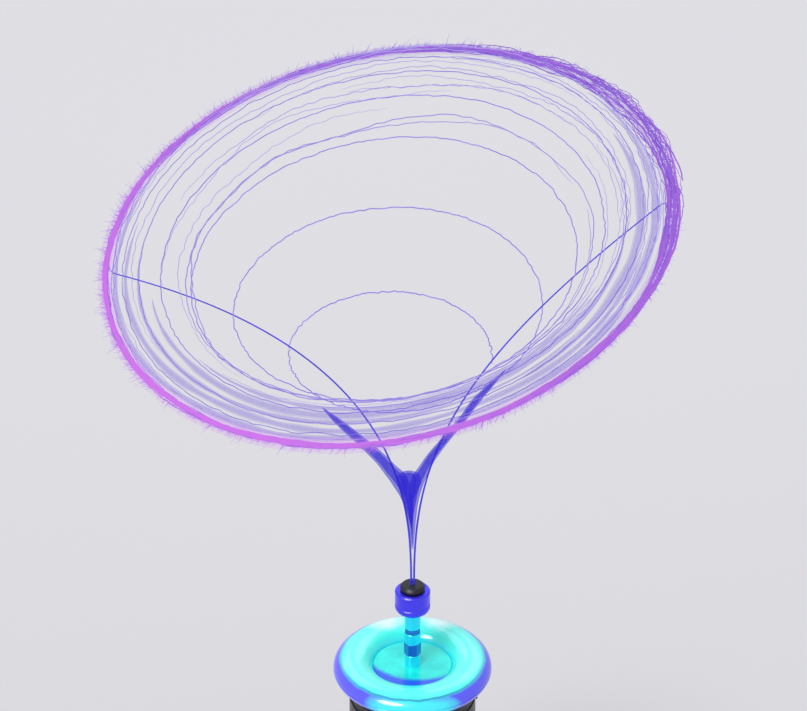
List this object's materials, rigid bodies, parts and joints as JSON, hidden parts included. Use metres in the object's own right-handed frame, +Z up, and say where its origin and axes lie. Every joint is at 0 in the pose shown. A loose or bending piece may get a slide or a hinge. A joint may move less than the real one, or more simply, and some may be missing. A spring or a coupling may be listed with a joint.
{
  "type": "desktop resonant transformer",
  "caption": "Desk demonstration transformer: cone-wound tube primary, tall fine-wire coil, enamelled toroid, and a whirling hub whose two wires draw a ring of light.",
  "frame": {"origin": "centre of the underside of the base, on the surface that it stands on, under the coil axis", "axes": "+Z up along the coil axis, the front panel with the knobs towards -Y, +X to its right"},
  "size_m": [0.4688, 0.4643, 0.8173],
  "materials": {
    "non_slip_rubber": "moulded non-slip rubber mat, matt",
    "black_acrylic": "polished black acrylic sheet with machined edges",
    "black_powder_coat": "fine satin powder coat on folded steel",
    "zinc_steel": "bright zinc-plated steel screws",
    "stainless_steel": "turned stainless steel",
    "bearing_steel": "ground and polished bearing steel",
    "cage_brass": "pressed brass ball cage",
    "terminal_brass": "machined brass",
    "copper_tube": "soft-drawn bare copper tube, lightly tarnished",
    "circuit_board": "green solder-masked glass-epoxy board",
    "extruded_aluminium": "extruded aluminium, natural",
    "component_black": "moulded black epoxy component bodies",
    "capacitor_sleeve": "shrunk dark blue sleeve on aluminium cans",
    "capacitor_red": "dipped brick-red film capacitor",
    "black_nylon": "moulded black glass-filled nylon",
    "guard_wire": "nickel-plated welded wire",
    "rocker_red": "moulded red translucent rocker key",
    "earth_green": "moulded green insulated socket",
    "lamp_lens": "moulded blue lamp lens",
    "knob_black": "turned and moulded black knob, satin",
    "comb_white": "machined white acetal sheet",
    "lead_sleeve": "dark silicone-sheathed flexible lead",
    "former_pipe": "extruded pale plastic pipe",
    "varnished_winding": "fine enamelled wire under dark clear varnish",
    "magnet_wire": "enamelled copper wire",
    "cap_black": "turned black acetal",
    "aqua_enamel": "luminous aqua enamel over spun aluminium",
    "aqua_plate": "saturated cyan enamel on a flat aluminium disc",
    "cyan_sleeve": "cyan anodised turned aluminium",
    "blue_steel_nut": "blue-passivated steel nuts",
    "violet_anodised": "blue-violet anodised turned aluminium",
    "hub_black": "turned black insulating hub",
    "blue_enamel_wire": "springy steel wire with blue-violet enamel",
    "discharge_light": "violet light of the discharge, drawn as a clear glowing skin"
  },
  "bodies": {
    "root": {"base_pad": "non_slip_rubber", "bottom_plate": "black_acrylic", "cabinet_wall": "black_powder_coat", "deck_plate": "black_acrylic", "bottom_screws": "zinc_steel", "deck_screws": "stainless_steel", "board_standoffs": "terminal_brass", "driver_board": "circuit_board", "heat_sink": "extruded_aluminium", "power_transistors": "component_black", "storage_capacitors": "capacitor_sleeve", "tank_capacitors": "capacitor_red", "supply_module": "component_black", "fan_frame": "black_nylon", "fan_guard": "guard_wire", "panel_screws": "zinc_steel", "inlet_socket": "black_nylon", "switch_bezel": "black_nylon", "earth_socket": "earth_green", "signal_jack": "stainless_steel", "lamp_bezel": "stainless_steel", "lamp_lens": "lamp_lens", "knob_controls": "zinc_steel", "primary_combs": "comb_white", "primary_coil": "copper_tube", "primary_terminals": "terminal_brass", "primary_lead": "lead_sleeve", "former_tube": "former_pipe", "secondary_winding": "varnished_winding", "former_collar": "cap_black", "collar_screws": "stainless_steel", "former_cap": "cap_black", "earth_lead": "magnet_wire", "top_lead": "magnet_wire", "toroid_spacer": "extruded_aluminium", "toroid_lower": "aqua_enamel", "toroid_upper": "aqua_enamel", "toroid_plate": "aqua_plate", "stem_rod": "stainless_steel", "stem_sleeves": "cyan_sleeve", "stem_nuts": "blue_steel_nut", "bearing_housing": "violet_anodised", "outer_rings": "bearing_steel"},
    "rotor": {"inner_rings": "bearing_steel", "spindle": "stainless_steel", "rotor_hub": "hub_black", "left_whip": "blue_enamel_wire", "right_whip": "blue_enamel_wire", "hub_screws": "zinc_steel", "discharge_ring": "discharge_light", "discharge_trace": "discharge_light"},
    "ball_train": {"bearing_cages": "cage_brass", "bearing_balls": "bearing_steel"},
    "fan": {"fan_rotor": "black_nylon"},
    "fuse_carrier": {"fuse_drawer": "black_nylon"},
    "rocker": {"switch_rocker": "rocker_red"},
    "power_dial": {"power_knob": "knob_black", "power_shaft": "stainless_steel"},
    "rate_dial": {"rate_knob": "knob_black", "rate_shaft": "stainless_steel"}
  },
  "joints": [
    {"name": "rotor_spin", "type": "hinge", "parent": "root", "child": "rotor", "pos_m": [0, 0, 0.365], "axis": [0, 0, 1], "continuous": true},
    {"name": "ball_train_spin", "type": "hinge", "parent": "root", "child": "ball_train", "pos_m": [0, 0, 0.365], "axis": [0, 0, 1], "continuous": true},
    {"name": "fan_spin", "type": "hinge", "parent": "root", "child": "fan", "pos_m": [-0.06, 0.1, 0.0315], "axis": [0, 1, 0], "continuous": true},
    {"name": "fuse_drawer_slide", "type": "slide", "parent": "root", "child": "fuse_carrier", "axis": [0, 1, 0], "range_m": [0, 0.012]},
    {"name": "power_switch_rock", "type": "hinge", "parent": "root", "child": "rocker", "pos_m": [-0.014, 0.1105, 0.0315], "axis": [1, 0, 0], "range_deg": [-20, 0]},
    {"name": "power_knob_turn", "type": "hinge", "parent": "root", "child": "power_dial", "pos_m": [-0.032, -0.115, 0.0315], "axis": [0, -1, 0], "range_deg": [-150, 150]},
    {"name": "rate_knob_turn", "type": "hinge", "parent": "root", "child": "rate_dial", "pos_m": [0.032, -0.115, 0.0315], "axis": [0, -1, 0], "range_deg": [-150, 150]}
  ],
  "couplings": [
    {"joint": "ball_train_spin", "follows": "rotor_spin", "ratio": 0.368}
  ]
}
